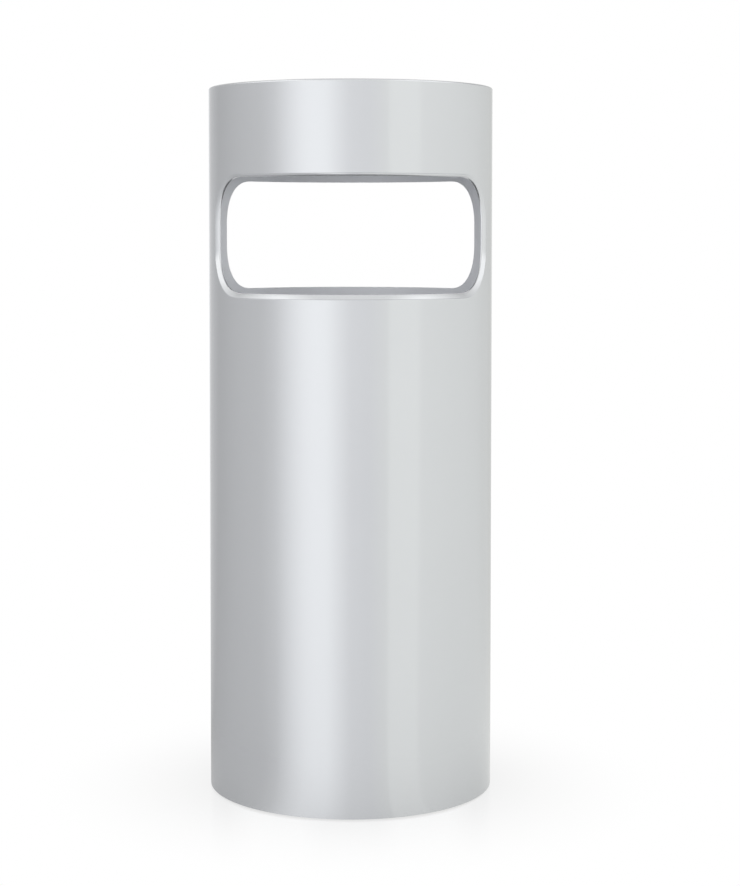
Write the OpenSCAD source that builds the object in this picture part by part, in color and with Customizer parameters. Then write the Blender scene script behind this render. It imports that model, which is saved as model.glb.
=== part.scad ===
// Free-standing ashtray bin: a silver tube with a wide window on each side, an ashtray in its top and a
// lift-out bucket on a weighted base. Millimetres, +Z up, origin on the floor at the tube's axis, and the
// front window faces -Y.

/* [Tube] */
// Outer diameter of the tube
shell_d = 250; // [235:1:300]
// Height from the floor to the top rim
overall_h = 618; // [560:1:700]
// Wall thickness of the tube
shell_wall = 4; // [3.6:0.1:5]
// Rounding on the two edges of the top rim
rim_round = 1.5; // [0.5:0.1:1.7]
// Gap between the tube's bottom edge and the floor
skirt_gap = 1; // [0.5:0.1:2]

/* [Windows] */
// Clear width of a window, as an angle round the tube
window_angle = 136; // [100:1:145]
// Clear height of a window
window_h = 99; // [76:1:116]
// Distance from the top rim down to the clear opening of a window
window_drop = 79.5; // [78:0.5:110]
// Corner radius of the clear opening
window_corner_r = 39; // [12:1:45]
// Width of the bevelled lip along the tube's surface
lip_w = 3.4; // [2.5:0.1:7]
// Depth of the bevelled lip in the wall
lip_depth = 2.6; // [2:0.1:4]
// How far the middle of the lip stands out from a straight bevel
lip_crown = 0.1; // [0:0.1:0.6]

/* [Ashtray] */
// Drop from the top rim to the flange of the ash bowl
ashtray_recess = 12; // [8:1:16]
// Width of the ledge in the tube that carries the ash bowl
ledge_w = 7; // [5:0.5:9]
// Thickness of the ledge at its inner edge
ledge_t = 4; // [3:0.5:6]
// Thickness of the gasket on the ledge
gasket_t = 1.5; // [1:0.1:3]
// Depth of the ash bowl from its flange to its floor
bowl_depth = 50; // [40:1:60]
// Sheet thickness of the ash bowl
bowl_wall = 1.5; // [1:0.1:2]
// How far the lower wall of the ash bowl leans in
bowl_lean = 10; // [4:1:20]
// Inner rounding between the wall and the floor of the ash bowl
bowl_fillet_r = 8; // [4:0.5:12]
// Depth of the seat of the stub grid below the flange
grid_drop = 12; // [9:0.5:16]
// Width of the seat of the stub grid
grid_seat_w = 7; // [6:0.5:12]
// Thickness of the stub grid
grid_t = 2; // [1.5:0.1:3]
// Diameter of the holes in the stub grid
grid_hole_d = 9; // [6:0.5:10]
// Distance between the rings of holes
grid_pitch = 14.5; // [13:0.5:20]
// Width of the two slots that stubs are dropped through
slot_w = 14; // [11:0.5:18]
// Length of these slots
slot_l = 40; // [25:1:50]
// Diameter of the knob on the stub grid
knob_d = 22; // [18:0.5:28]
// Height of the knob
knob_h = 16; // [13:0.5:18]
// Diameter of the knob at its neck
knob_neck_d = 13; // [10:0.5:15]
// Shank diameter of the screw in the knob
knob_screw_d = 4; // [3:0.5:5]
// Depth of that screw in the knob
knob_screw_depth = 9; // [6:0.5:10]
// Thickness of the washer under the stub grid
washer_t = 0.8; // [0.5:0.1:1.5]

/* [Bucket] */
// Outer diameter of the bucket at its foot
bucket_foot_d = 200; // [180:1:206]
// Width of the flange of the bucket
bucket_flange_w = 13; // [11:0.5:16]
// Sheet thickness of the bucket
bucket_wall = 1; // [0.8:0.1:1.5]
// Distance from a window's clear opening down to the rim of the bucket
bucket_drop = 70; // [50:1:120]
// Radius of the rolled edge round the flange of the bucket
bucket_roll_r = 2.5; // [2:0.1:3]
// Height of the top of the bucket's floor above its foot edge
bucket_floor_rise = 11; // [8:0.5:16]
// Width of the strap of an ear
ear_w = 18; // [14:0.5:22]
// Radius of the eye of an ear
ear_eye_r = 11; // [9.5:0.5:13]
// Thickness of an ear
ear_t = 2; // [1.5:0.1:2.5]
// Length of an ear below the rim
ear_drop = 30; // [26:1:40]
// Shank diameter of the rivets in the ears
rivet_d = 4; // [3:0.5:5]
// Distance from the rim down to the upper rivet of an ear
rivet_drop = 9; // [8:0.5:11]
// Distance between the two rivets of an ear
rivet_pitch = 13; // [11:0.5:15]

/* [Bail] */
// Diameter of the wire
bail_wire_d = 5; // [4:0.5:6]
// Radius of the elbows at the ends of the wire
bail_elbow_r = 5; // [4:0.5:6]
// Thickness of the heads on the ends of the wire
bail_head_t = 2; // [1:0.5:3]
// Diameter of the grip
grip_d = 14; // [12:0.5:16]
// Length of the grip, as an angle round the bail
grip_angle = 46; // [30:1:70]

/* [Base] */
// Thickness of the flange that the tube stands on
base_flange_t = 4; // [3:0.5:6]
// Width of the step in the foot of the tube that sits on that flange
base_step_w = 2; // [1.5:0.1:2.5]
// Height of the upstand above the flange
spigot_h = 22; // [16:1:40]
// Thickness of the upstand
spigot_wall = 3; // [2:0.1:4]
// Thickness of the floor of the base
base_floor_t = 3; // [2.5:0.1:5]
// Height of the rib that keeps the bucket in place
seat_rib_h = 4; // [2:0.5:8]
// Thickness of the rib that keeps the bucket in place
seat_rib_t = 3; // [2:0.5:5]
// Thickness of the webs under the base
web_t = 2.5; // [2:0.1:4]
// Diameter of a foot
foot_d = 24; // [18:1:30]
// Rim of the boss round a foot
foot_boss_rim = 1; // [0.5:0.1:2]
// Height of the boss above a foot
foot_boss_h = 5; // [4:0.5:7]
// Diameter of the plug that holds a foot in its boss
foot_plug_d = 8; // [6:0.5:10]
// Distance between the upstand and the boss of a foot
foot_inset = 3; // [1:0.5:8]
// Distance between the boss of a foot and the ballast disc
ballast_gap = 4; // [2:0.5:10]
// Thickness of the ballast disc
ballast_t = 8; // [7:0.5:10]
// Distance of the ballast's screws from the axis
ballast_screw_r = 60; // [40:1:72]
// Shank diameter of the ballast's screws
ballast_screw_d = 5; // [4:0.5:6]
// Height of the bosses that those screws bite into
ballast_boss_h = 6; // [4:0.5:7]

/* [Fits] */
// Gap round a piece that slides off another
slide_gap = 0.4; // [0.3:0.05:0.6]
// Gap between the ash bowl's flange and the tube
bowl_gap = 1.6; // [1:0.1:2.5]
// Gap between the ash bowl and the ledge that it hangs in
well_gap = 6; // [3:0.5:8]
// Gap between the stub grid and the ash bowl
grid_gap = 0.8; // [0.4:0.1:1.5]
// Gap between the rolled edge of the bucket and the tube
bucket_gap = 4; // [3:0.5:6]
// Gap between the foot of the bucket and the rib round it
bucket_seat_gap = 0.8; // [0.5:0.1:2]
// Gap round a pivot, a plug or a shank in its hole
pin_gap = 0.08; // [0.05:0.01:0.1]
// Gap under the grip where it lies on the bucket
rest_gap = 0.3; // [0.3:0.05:0.5]
// Gap between the wall of the bucket and an ear or the floor in it
sheet_gap = 0.15; // [0.1:0.05:0.3]
// Play of the bail between the heads on its ends and the ears
bail_play = 0.6; // [0.4:0.1:1]

/* [Hidden] */
$fn = 96;
arc_steps = 6;
overlap = 1;

// Tube
shell_r = shell_d / 2;
bore_r = shell_r - shell_wall;

// Windows, measured along the outer surface of the tube
window_z = overall_h - window_drop - window_h / 2;
half_arc = shell_r * window_angle / 2 * PI / 180;
corner_r = min(window_corner_r, window_h / 2 - overlap);
corner_s = half_arc - corner_r;
corner_z = window_h / 2 - corner_r;
corner_steps = 8;
edge_step = 6;
edge_steps = ceil(2 * corner_s / edge_step);
lip_land = 0.4;
lip_d = min(lip_depth, shell_wall - lip_land);
lip_start_r = shell_r - lip_d;
lip_steps = 4;
lip_overshoot = 1.5;
bore_overshoot = 6;

// Ashtray, from the rim down
bowl_top_z = overall_h - ashtray_recess;
ledge_z = bowl_top_z - bowl_wall - gasket_t;
ledge_r = bore_r - ledge_w;
bowl_flange_r = bore_r - bowl_gap;
bowl_well_r = ledge_r - bowl_wall - well_gap;
bowl_bend_r = 2 * bowl_wall;
bowl_throat_r = bowl_well_r - grid_seat_w;
bowl_floor_z = bowl_top_z - bowl_depth;
bowl_floor_r = bowl_throat_r - bowl_lean;
grid_z = bowl_top_z - grid_drop;
grid_top_z = grid_z + grid_t;
grid_r = bowl_well_r - grid_gap;
grid_land = 4;
first_ring_r = (knob_d + grid_hole_d) / 2 + grid_land;
grid_rings = 1 + floor((bowl_throat_r - grid_hole_d / 2 - grid_land / 2 - first_ring_r) / grid_pitch);
holes_per_ring = 6;
slot_mid_r = (knob_d / 2 + bowl_throat_r) / 2;

// Knob and its screw
knob_r = knob_d / 2;
knob_foot_h = 2;
knob_edge_r = 3;
knob_crown = 1;
knob_screw_r = knob_screw_d / 2;
knob_head_r = 1.8 * knob_screw_r;
knob_head_h = 1.2 * knob_screw_r;
washer_r = knob_head_r + overlap;
screw_tip_gap = 1;

// Base, from the floor up
base_z = skirt_gap;
seat_z = base_z + base_flange_t;
step_r = bore_r + base_step_w;
base_flange_r = step_r - slide_gap;
spigot_r = bore_r - slide_gap;
spigot_in_r = spigot_r - spigot_wall;
spigot_top_z = seat_z + spigot_h;
ballast_lift = 1;
ballast_z = base_z + ballast_lift;
base_floor_z = ballast_z + ballast_t;
base_top_z = base_floor_z + base_floor_t;
seat_rib_r = bucket_foot_d / 2 + bucket_seat_gap;
web_lift = 2;
web_angles = [for (a = [0 : 90 : 270], side = [-15, 15]) a + side];

// Feet
foot_h = base_floor_z - foot_boss_h;
foot_taper = 1;
foot_plug_r = foot_plug_d / 2;
foot_plug_h = foot_boss_h + base_floor_t / 2;
foot_boss_r = foot_d / 2 + foot_boss_rim;
foot_r = spigot_in_r - foot_inset - foot_boss_r;
foot_angles = [45, 135, 225, 315];

// Ballast and its screws
ballast_r = foot_r - foot_boss_r - ballast_gap;
ballast_shank_r = ballast_screw_d / 2;
ballast_head_r = 1.8 * ballast_shank_r;
ballast_head_h = 1.2 * ballast_shank_r;
ballast_head_sink = 0.5;
ballast_boss_r = 2.4 * ballast_shank_r;
ballast_seat_z = ballast_z + ballast_head_sink + ballast_head_h;
ballast_tip_z = base_top_z + ballast_boss_h - 2 * screw_tip_gap;
ballast_angles = [90, 210, 330];

// Bucket
bucket_foot_r = bucket_foot_d / 2;
bucket_z = base_top_z;
bucket_rim_z = window_z - window_h / 2 - bucket_drop;
bucket_flange_r = bore_r - bucket_gap;
bucket_rim_r = bucket_flange_r - bucket_flange_w;
bucket_bend_r = 2 * bucket_wall;
bucket_roll_sink = 0.2;
bucket_floor_z = bucket_z + bucket_floor_rise;
bucket_lean = bucket_rim_r - bucket_foot_r;
bucket_lean_h = bucket_rim_z - bucket_floor_z;

// Ears and rivets
wire_r = bail_wire_d / 2;
grip_r = grip_d / 2;
pivot_z = bucket_rim_z + grip_r + rest_gap;
ear_z = bucket_rim_z - ear_drop;
ear_out_r = min(bucket_r_at(ear_z), bucket_rim_r) - bucket_wall - sheet_gap;
ear_in_r = ear_out_r - ear_t;
rivet_r = rivet_d / 2;
rivet_head_r = 1.75 * rivet_r;
rivet_tip_r = 1.2 * rivet_r;
rivet_head_h = 0.75 * rivet_r;
rivet_sink = 0.15;
rivet_heights = [for (i = [0, 1]) bucket_rim_z - rivet_drop - i * rivet_pitch];

// Bail: its elbows turn from the arc to the line of the pivot, and are a touch thicker than the wire
bail_r = (bucket_rim_r + bucket_flange_r) / 2;
elbow_swell = 0.2;
elbow_bite = 0.8;
elbow_a = asin(bail_elbow_r / (bail_r - bail_elbow_r));
elbow_c = (bail_r - bail_elbow_r) * [cos(elbow_a), sin(elbow_a)];
bail_head_x = ear_in_r - bail_play;
bail_head_r = 1.8 * wire_r;

// Centre of hole i in ring n of the stub grid
function grid_hole(n, i) =
    let (r = first_ring_r + (n - 1) * grid_pitch, a = 360 * i / (holes_per_ring * n)) r * [cos(a), sin(a)];

// Whether a hole of the stub grid at p leaves some of the plate between itself and the slots
function beside_slots(p) =
    let (room = (grid_hole_d + grid_land) / 2)
    abs(p.y) > slot_w / 2 + room || abs(abs(p.x) - slot_mid_r) > slot_l / 2 + room;

// Outer radius of the bucket's wall at height z above its floor
function bucket_r_at(z) = bucket_foot_r + bucket_lean * (z - bucket_floor_z) / bucket_lean_h;

// Points on an arc about c, from angle a to angle b
function arc(c, r, a, b, n = arc_steps) =
    [for (i = [0 : n]) let (t = a + (b - a) * i / n) c + r * [cos(t), sin(t)]];

// Unit normal on the left of the step from p to q
function left_of(p, q) = let (d = q - p) [-d.y, d.x] / norm(d);

// A path moved t to its left, with mitred corners
function beside(path, t) =
    let (last = len(path) - 1)
    [for (i = [0 : last])
        let (
            n1 = left_of(path[max(i - 1, 0)], path[max(i, 1)]),
            n2 = left_of(path[min(i, last - 1)], path[min(i + 1, last)])
        )
        path[i] + t * (n1 + n2) / (1 + n1 * n2)];

function reversed(list) = [for (i = [len(list) - 1 : -1 : 0]) list[i]];

// Upper half of a window's outline, d outside the clear opening: [distance along the surface, height]
function window_half(d) =
    let (r = corner_r + d)
    concat(
        arc([-corner_s, corner_z], r, 180, 90, corner_steps),
        [for (i = [1 : edge_steps - 1]) [corner_s * (2 * i / edge_steps - 1), corner_z + r]],
        arc([corner_s, corner_z], r, 90, 0, corner_steps));

// A point of that outline at radius r from the axis, in the upper half (side 1) or the lower half (side -1)
function on_tube(p, r, side) =
    let (a = p.x / shell_r * 180 / PI) [r * sin(a), -r * cos(a), window_z + side * p.y];

// Point at the share s of the way up the lip: [radius, distance outside the clear opening]
function lip_point(s) =
    let (lip = [lip_d, lip_w], out = [lip_w, -lip_d] / norm(lip))
    [lip_start_r, 0] + s * lip + lip_crown * 4 * s * (1 - s) * out;

// A sheet turned about the axis, t thick on the left of its path
module turned_sheet(path, t) {
    rotate_extrude() polygon(concat(path, reversed(beside(path, t))));
}

// A ring from radius a to radius b, h high above height z
module ring(a, b, z, h) {
    translate([0, 0, z]) rotate_extrude() translate([a, 0]) square([b - a, h]);
}

// A cylinder that stands at height z
module post(r, z, h) {
    translate([0, 0, z]) cylinder(r = r, h = h);
}

// Copies at the given angles, r from the axis
module around(angles, r) {
    for (a = angles) rotate([0, 0, a]) translate([r, 0, 0]) children();
}

// Pan-head screw that points up: the underside of its head at height z, with a hexagon socket in the head
module screw(shank_r, head_r, head_h, z, length) {
    difference() {
        union() {
            post(head_r, z - head_h, head_h);
            post(shank_r, z - head_h / 2, length + head_h / 2);
        }
        translate([0, 0, z - head_h - overlap])
            cylinder(r = shank_r * 0.8, h = head_h / 2 + overlap, $fn = 6);
    }
}

// The space of one window, with the bevelled lip that widens it towards the outside
module window_space() {
    edge = lip_point(1);
    last_step = edge - lip_point(1 - 1 / lip_steps);
    levels = concat(
        [[bore_r - bore_overshoot, 0]],
        [for (i = [0 : lip_steps - 1]) lip_point(i / lip_steps)],
        [edge + lip_overshoot * last_step / norm(last_step)]);
    columns = len(window_half(0));
    count = 2 * columns;
    points = [for (l = levels, side = [1, -1], p = window_half(l[1])) on_tube(p, l[0], side)];
    loop = concat([for (i = [0 : columns - 1]) i], [for (i = [columns - 1 : -1 : 0]) columns + i]);
    walls = [for (k = [0 : len(levels) - 2], i = [0 : count - 1])
        let (a = k * count + loop[i], b = k * count + loop[(i + 1) % count])
        each [[a, b, b + count], [a, b + count, a + count]]];
    last = (len(levels) - 1) * count;
    caps = [for (i = [0 : columns - 2])
        let (u = i, l = columns + i)
        each [[u, l, l + 1], [u, l + 1, u + 1],
            [last + u, last + l + 1, last + l], [last + u, last + u + 1, last + l + 1]]];
    polyhedron(points, concat(walls, caps), convexity = 6);
}

// Tube with a stepped foot, a ledge for the ash bowl and a rounded top rim
module shell() {
    outline = concat(
        [[step_r, base_z], [shell_r, base_z]],
        arc([shell_r - rim_round, overall_h - rim_round], rim_round, 0, 90),
        arc([bore_r + rim_round, overall_h - rim_round], rim_round, 90, 180),
        [[bore_r, ledge_z], [ledge_r, ledge_z], [ledge_r, ledge_z - ledge_t],
            [bore_r, ledge_z - ledge_t - ledge_w], [bore_r, seat_z], [step_r, seat_z]]);
    color("silver") difference() {
        rotate_extrude() polygon(outline);
        for (a = [0, 180]) rotate([0, 0, a]) window_space();
    }
}

module ledge_gasket() {
    color("dimgray") ring(ledge_r, bowl_flange_r, ledge_z, gasket_t);
}

// Pressed dish: a flange, a well with a seat for the stub grid, and below it a bowl for the ash
module ash_bowl() {
    lean_a = atan2(bowl_lean, bowl_depth - grid_drop);
    fillet_c = [bowl_floor_r - bowl_fillet_r * tan(45 - lean_a / 2), bowl_floor_z + bowl_fillet_r];
    path = concat(
        [[bowl_flange_r, bowl_top_z]],
        arc([bowl_well_r + bowl_bend_r, bowl_top_z - bowl_bend_r], bowl_bend_r, 90, 180),
        [[bowl_well_r, grid_z]],
        arc([bowl_throat_r + bowl_bend_r, grid_z - bowl_bend_r], bowl_bend_r, 90, 180 - lean_a),
        arc(fillet_c, bowl_fillet_r, -lean_a, -90),
        [[0, bowl_floor_z]]);
    color("lightgray") turned_sheet(path, bowl_wall);
}

// Slot with round ends, h high above height z
module stub_slot(z, h) {
    run = slot_l - slot_w;
    for (side = [-1, 1]) translate([slot_mid_r + side * run / 2, 0]) post(slot_w / 2, z, h);
    translate([slot_mid_r - run / 2, -slot_w / 2, z]) cube([run, slot_w, h]);
}

// Perforated plate that cigarettes are stubbed out on
module stub_grid() {
    cut_z = grid_z - overlap;
    cut_h = grid_t + 2 * overlap;
    color("gainsboro") difference() {
        post(grid_r, grid_z, grid_t);
        post(knob_screw_r + pin_gap, cut_z, cut_h);
        for (a = [0, 180]) rotate([0, 0, a]) stub_slot(cut_z, cut_h);
        for (n = [1 : grid_rings], i = [0 : holes_per_ring * n - 1])
            if (beside_slots(grid_hole(n, i)))
                translate(grid_hole(n, i)) post(grid_hole_d / 2, cut_z, cut_h);
    }
}

// Turned knob that the stub grid is lifted by
module grid_knob() {
    neck_r = knob_neck_d / 2;
    top_z = grid_top_z + knob_h;
    edge_c = [knob_r - knob_edge_r, top_z - knob_crown - knob_edge_r];
    outline = concat(
        [[0, grid_top_z], [neck_r + knob_foot_h, grid_top_z], [neck_r, grid_top_z + knob_foot_h],
            [neck_r, edge_c.y - knob_edge_r]],
        arc(edge_c, knob_edge_r, -60, 75),
        [[0, top_z]]);
    color("black") difference() {
        rotate_extrude() polygon(outline);
        post(knob_screw_r + pin_gap, grid_top_z - overlap, knob_screw_depth + screw_tip_gap + overlap);
    }
}

module knob_washer() {
    color("silver") ring(knob_screw_r + pin_gap, washer_r, grid_z - washer_t, washer_t);
}

module knob_screw() {
    color("silver") screw(knob_screw_r, knob_head_r, knob_head_h, grid_z - washer_t,
        washer_t + grid_t + knob_screw_depth);
}

// Wall of the pail: a straight foot, a body that leans out, a flange and a rolled edge
module bucket() {
    lean_a = atan2(bucket_lean, bucket_lean_h);
    rim_in_r = bucket_rim_r - bucket_wall;
    foot_in_r = bucket_foot_r - bucket_wall;
    roll_c = [bucket_flange_r - bucket_roll_r, bucket_rim_z - bucket_roll_r - bucket_roll_sink];
    path = concat(
        [[roll_c.x, bucket_rim_z]],
        arc([rim_in_r + bucket_bend_r, bucket_rim_z - bucket_bend_r], bucket_bend_r, 90, 180 - lean_a),
        [[foot_in_r, bucket_floor_z], [foot_in_r, bucket_z]]);
    color("lightsteelblue") difference() {
        union() {
            turned_sheet(path, bucket_wall);
            rotate_extrude() translate(roll_c) circle(r = bucket_roll_r);
        }
        rivet_places() rivet_hole();
    }
}

// Floor of the pail, pressed into its foot: a disc with a rounded edge turned down to the foot edge
module bucket_floor() {
    rim_r = bucket_foot_r - bucket_wall - sheet_gap;
    path = concat(
        [[rim_r, bucket_z]],
        arc([rim_r - bucket_bend_r, bucket_floor_z - bucket_bend_r], bucket_bend_r, 0, 90),
        [[0, bucket_floor_z]]);
    color("lightsteelblue") turned_sheet(path, bucket_wall);
}

// The places of the four rivets, each turned so that +X points out of the bucket
module rivet_places() {
    for (a = [0, 180], z = rivet_heights) rotate([0, 0, a]) translate([0, 0, z]) children();
}

module rivet_hole() {
    rotate([0, 90, 0]) post(rivet_r + pin_gap, ear_in_r - overlap, bucket_rim_r - ear_in_r + 2 * overlap);
}

// Curved lug against the inside of the bucket's wall, with an eye for the bail above the rim
module ear() {
    reach = 2 * ear_t;
    difference() {
        intersection() {
            ring(ear_in_r, ear_out_r, ear_z, pivot_z + ear_eye_r + overlap - ear_z);
            union() {
                translate([ear_in_r - reach, -ear_w / 2, ear_z])
                    cube([ear_t + 2 * reach, ear_w, pivot_z - ear_z]);
                translate([ear_in_r - reach, 0, pivot_z]) rotate([0, 90, 0])
                    cylinder(r = ear_eye_r, h = ear_t + 2 * reach);
            }
        }
        translate([0, 0, pivot_z]) rotate([0, 90, 0])
            post(wire_r + pin_gap, ear_in_r - reach, ear_t + 2 * reach);
        rivet_places() rivet_hole();
    }
}

module ear_left() {
    color("silver") rotate([0, 0, 180]) ear();
}

module ear_right() {
    color("silver") ear();
}

// Rivets with a head on each side, which clamp the ears to the wall
module ear_rivets() {
    color("gainsboro") for (a = [0, 180], z = rivet_heights) {
        in_x = ear_in_r - rivet_sink;
        out_x = max(bucket_r_at(z - rivet_head_r), bucket_r_at(z + rivet_head_r)) + rivet_sink;
        rotate([0, 0, a]) translate([0, 0, z]) rotate([0, 90, 0]) {
            post(rivet_r, in_x - rivet_head_h / 2, out_x - in_x + rivet_head_h);
            translate([0, 0, in_x - rivet_head_h])
                cylinder(r1 = rivet_tip_r, r2 = rivet_head_r, h = rivet_head_h);
            translate([0, 0, out_x]) cylinder(r1 = rivet_head_r, r2 = rivet_tip_r, h = rivet_head_h);
        }
    }
}

// One end of the bail: the elbow, the pin through the ear and the head inside the ear
module bail_end() {
    translate(elbow_c) rotate([0, 0, -90])
        rotate_extrude(angle = 90 + elbow_a) translate([bail_elbow_r, 0]) circle(r = wire_r + elbow_swell);
    rotate([0, 90, 0]) {
        post(wire_r, bail_head_x - bail_head_t / 2, elbow_c.x - bail_head_x + bail_head_t / 2 + elbow_bite);
        post(bail_head_r, bail_head_x - bail_head_t, bail_head_t);
    }
}

// Round wire that lies flat above the back of the bucket
module bail_wire() {
    end_a = elbow_a - elbow_bite / bail_r * 180 / PI;
    color("silver") translate([0, 0, pivot_z]) {
        rotate([0, 0, end_a])
            rotate_extrude(angle = 180 - 2 * end_a) translate([bail_r, 0]) circle(r = wire_r);
        bail_end();
        mirror([1, 0, 0]) bail_end();
    }
}

module bail_grip() {
    color("black") translate([0, 0, pivot_z]) rotate([0, 0, 90 - grip_angle / 2])
        rotate_extrude(angle = grip_angle) translate([bail_r, 0]) difference() {
            circle(r = grip_r);
            circle(r = wire_r + pin_gap);
        }
}

// Moulded base: a flange and an upstand for the tube, a floor for the bucket, bosses and webs underneath
module base_plate() {
    outline = [
        [0, base_floor_z], [spigot_in_r, base_floor_z], [spigot_in_r, base_z], [base_flange_r, base_z],
        [base_flange_r, seat_z], [spigot_r, seat_z], [spigot_r, spigot_top_z], [spigot_in_r, spigot_top_z],
        [spigot_in_r, base_top_z], [0, base_top_z]];
    web_r = ballast_r + ballast_gap / 2;
    web_z = base_z + web_lift;
    color("dimgray") difference() {
        union() {
            rotate_extrude() polygon(outline);
            ring(seat_rib_r, seat_rib_r + seat_rib_t, base_top_z - overlap, seat_rib_h + overlap);
            around(foot_angles, foot_r) post(foot_boss_r, foot_h, foot_boss_h + overlap);
            around(ballast_angles, ballast_screw_r)
                post(ballast_boss_r, base_top_z - overlap, ballast_boss_h + overlap);
            around(web_angles, web_r) translate([0, -web_t / 2, web_z])
                cube([spigot_in_r - web_r + overlap, web_t, base_floor_z - web_z + overlap]);
        }
        around(foot_angles, foot_r)
            post(foot_plug_r + pin_gap, foot_h - overlap, foot_plug_h + rest_gap + overlap);
        around(ballast_angles, ballast_screw_r)
            post(ballast_shank_r + pin_gap, base_floor_z - overlap,
                ballast_tip_z + screw_tip_gap - base_floor_z + overlap);
    }
}

// Steel weight with a counterbored hole for each of its screws
module ballast_disc() {
    color("gray") difference() {
        post(ballast_r, ballast_z, ballast_t);
        around(ballast_angles, ballast_screw_r) {
            post(ballast_shank_r + slide_gap, ballast_z - overlap, ballast_t + 2 * overlap);
            post(ballast_head_r + slide_gap, ballast_z - overlap, ballast_seat_z - ballast_z + overlap);
        }
    }
}

module ballast_screws() {
    length = ballast_tip_z - ballast_seat_z;
    color("silver") around(ballast_angles, ballast_screw_r)
        screw(ballast_shank_r, ballast_head_r, ballast_head_h, ballast_seat_z, length);
}

// Rubber foot number i, with the plug that holds it in the base
module foot(i) {
    color("black") around([foot_angles[i - 1]], foot_r) {
        cylinder(r1 = foot_d / 2 - foot_taper, r2 = foot_d / 2, h = foot_h);
        post(foot_plug_r, foot_h - overlap, foot_plug_h + overlap);
    }
}

shell();
ledge_gasket();
ash_bowl();
stub_grid();
grid_knob();
knob_washer();
knob_screw();
bucket();
bucket_floor();
ear_left();
ear_right();
ear_rivets();
bail_wire();
bail_grip();
base_plate();
ballast_disc();
ballast_screws();
foot(1);  // foot_1
foot(2);  // foot_2
foot(3);  // foot_3
foot(4);  // foot_4
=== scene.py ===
import math

import bmesh
import bpy
from mathutils import Matrix, Vector


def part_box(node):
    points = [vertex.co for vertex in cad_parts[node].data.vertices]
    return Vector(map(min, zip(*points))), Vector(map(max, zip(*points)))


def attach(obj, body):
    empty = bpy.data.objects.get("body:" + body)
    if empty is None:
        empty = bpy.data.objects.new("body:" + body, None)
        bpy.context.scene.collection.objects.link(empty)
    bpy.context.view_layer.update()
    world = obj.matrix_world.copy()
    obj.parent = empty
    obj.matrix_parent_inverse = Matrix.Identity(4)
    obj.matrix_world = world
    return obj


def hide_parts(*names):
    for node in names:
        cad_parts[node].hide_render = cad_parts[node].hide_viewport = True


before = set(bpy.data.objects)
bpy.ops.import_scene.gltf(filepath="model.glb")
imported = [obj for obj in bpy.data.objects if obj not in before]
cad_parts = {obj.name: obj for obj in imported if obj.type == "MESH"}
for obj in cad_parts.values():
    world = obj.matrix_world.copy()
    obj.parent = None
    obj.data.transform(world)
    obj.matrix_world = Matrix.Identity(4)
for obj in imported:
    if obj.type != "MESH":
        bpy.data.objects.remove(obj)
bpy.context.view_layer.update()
scene = bpy.context.scene
mm = 0.001
upAxis = Vector((0, 0, 1))
roundSteps = 180  # facets of the large turned pieces
print("frame loaded:", len(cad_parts), "nodes")


# Shader sockets that take part in plain sums
class Wire:
    def __init__(self, tree, socket=None):
        self.tree = tree
        self.socket = socket

    def add(self, kind, settings=None, values=None, out=0):
        node = self.tree.nodes.new("ShaderNode" + kind)
        for name, value in (settings or {}).items():
            if name == "stops":  # of a colour ramp: (place, colour)
                ramp = node.color_ramp.elements
                while len(ramp) < len(value):
                    ramp.new(0.5)
                for stop, (place, colour) in zip(ramp, value):
                    stop.position = place
                    stop.color = colour
            else:
                setattr(node, name, value)
        for name, value in (values or {}).items():
            if isinstance(value, Wire):
                self.tree.links.new(value.socket, node.inputs[name])
            else:
                node.inputs[name].default_value = value
        return Wire(self.tree, node.outputs[out] if node.outputs else None)

    def sum(self, operation, first, second):
        return self.add("Math", {"operation": operation}, {0: first, 1: second})

    def __add__(self, other):
        return self.sum("ADD", self, other)

    def __radd__(self, other):
        return self.sum("ADD", other, self)

    def __sub__(self, other):
        return self.sum("SUBTRACT", self, other)

    def __rsub__(self, other):
        return self.sum("SUBTRACT", other, self)

    def __mul__(self, other):
        return self.sum("MULTIPLY", self, other)

    def __rmul__(self, other):
        return self.sum("MULTIPLY", other, self)

    def __pow__(self, other):
        return self.sum("POWER", self, other)

    def part(self, axis):
        return self.add("SeparateXYZ", {}, {"Vector": self}, axis)

    def fromAxis(self):  # distance from the upright axis
        x, y = self.part("X"), self.part("Y")
        return (x * x + y * y) ** 0.5

    def between(self, low, high):  # 0 at low, 1 at high, clamped
        return self.add("MapRange", {"clamp": True}, {"Value": self, "From Min": low, "From Max": high})

    def blend(self, first, second):  # of two colours, by this mask
        return self.add("Mix", {"data_type": "RGBA", "clamp_factor": True}, {0: self, 6: first, 7: second}, 2)

    def noise(self, scale, detail=2.0, roughness=0.5):
        values = {"Vector": self, "Scale": scale, "Detail": detail, "Roughness": roughness}
        return self.add("TexNoise", {}, values, "Fac")

    def stretched(self, x, y, z):
        return self.add("VectorMath", {"operation": "MULTIPLY"}, {0: self, 1: (x, y, z)})

    def bump(self, depth):  # depth in millimetres
        return self.add("Bump", {}, {"Height": self, "Distance": depth * mm, "Strength": 1.0})


def grey(level, tint=(1, 1, 1)):
    return tuple(level * part for part in tint) + (1,)


def finish(name, paint):
    material = bpy.data.materials.new(name)
    material.use_nodes = True
    material.node_tree.nodes.clear()
    start = Wire(material.node_tree)
    place = start.add("TexCoord", out="Object")
    start.add("OutputMaterial", {}, {"Surface": paint(start, place)})
    return material


# Finishes. Noise scales are per metre and bump depths in millimetres.
silverLook = {"colour": (0.622, 0.634, 0.647), "spread": 0.035, "metal": 0.75, "roughness": 0.10,
              "coat": 0.25, "coatRoughness": 0.06, "flakes": 1500, "clouds": 9.0, "cloudRoughness": 0.04,
              "peel": 170, "peelDepth": 0.012, "bore": 0.1213, "boreEdge": 0.0002,
              "inside": (0.893, 0.908, 0.943), "insideMetal": 0.35, "insideRoughness": 0.5}


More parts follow.
